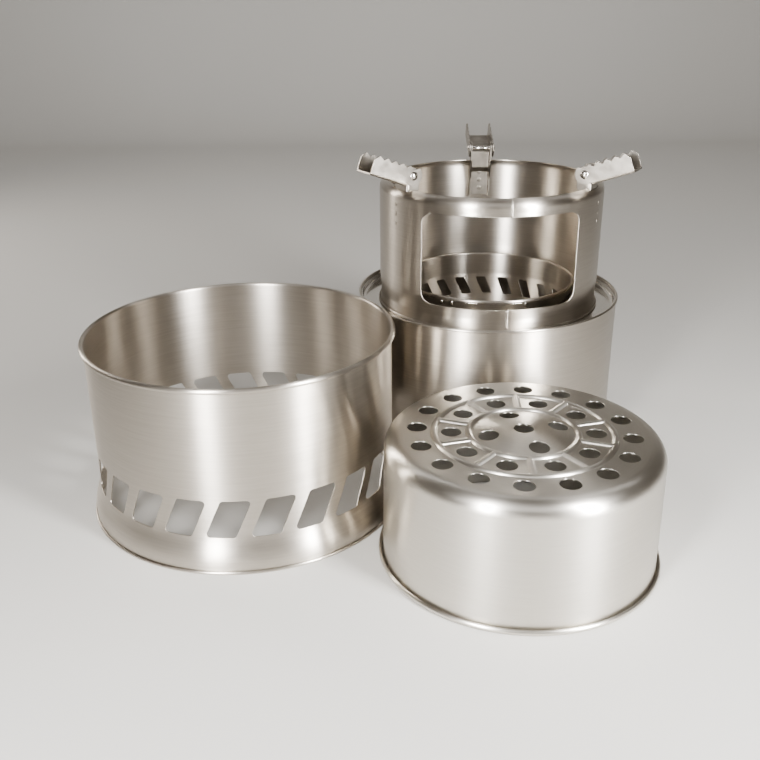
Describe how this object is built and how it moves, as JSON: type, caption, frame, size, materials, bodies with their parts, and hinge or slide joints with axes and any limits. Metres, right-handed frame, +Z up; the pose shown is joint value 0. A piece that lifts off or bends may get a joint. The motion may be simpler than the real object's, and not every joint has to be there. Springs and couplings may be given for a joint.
{
  "type": "twig stove",
  "caption": "Stainless twig stove in separate nesting pieces: vented base, pierced fire bowl, double-wall burner body, and a pot ring with a feed window and folding toothed arms.",
  "frame": {"origin": "on the table under the middle of the pieces as they stand", "axes": "+Z up; +Y from the fire bowl towards the burner body; +X from the vented base towards the burner body"},
  "size_m": [0.2502, 0.2548, 0.1463],
  "materials": {
    "brushed_shell": "brushed",
    "satin_bowl": "satin",
    "polished_deck": "polished",
    "strip": "pressed mill finish",
    "rivet": "bright"
  },
  "bodies": {
    "burner_body": {"body_shell": "brushed_shell", "body_deck": "polished_deck", "burner_throat": "brushed_shell"},
    "vented_base": {"base_shell": "brushed_shell"},
    "bowl": {"fire_bowl": "satin_bowl"},
    "ring": {"pot_ring": "brushed_shell", "bracket_rear": "strip", "bracket_left": "strip", "bracket_right": "strip", "pin_rear": "rivet", "pin_left": "rivet", "pin_right": "rivet"},
    "rear_arm": {"arm_rear": "strip"},
    "left_arm": {"arm_left": "strip"},
    "right_arm": {"arm_right": "strip"}
  },
  "joints": [
    {"name": "ring_lift", "type": "slide", "parent": "burner_body", "child": "ring", "axis": [0, 0, 1], "range_m": [0, 0.08]},
    {"name": "base_lift", "type": "slide", "parent": "burner_body", "child": "vented_base", "axis": [0, 0, 1], "range_m": [0, 0.05]},
    {"name": "bowl_lift", "type": "slide", "parent": "burner_body", "child": "bowl", "axis": [0, 0, 1], "range_m": [0, 0.15]},
    {"name": "rear_arm_fold", "type": "hinge", "parent": "ring", "child": "rear_arm", "pos_m": [0.06011, 0.10475, 0.1356], "axis": [1, 0, 0], "range_deg": [0, 240]},
    {"name": "left_arm_fold", "type": "hinge", "parent": "ring", "child": "left_arm", "pos_m": [0.01811, 0.032, 0.1356], "axis": [-0.5, 0.866, 0], "range_deg": [0, 240]},
    {"name": "right_arm_fold", "type": "hinge", "parent": "ring", "child": "right_arm", "pos_m": [0.10212, 0.032, 0.1356], "axis": [-0.5, -0.866, 0], "range_deg": [0, 240]}
  ]
}
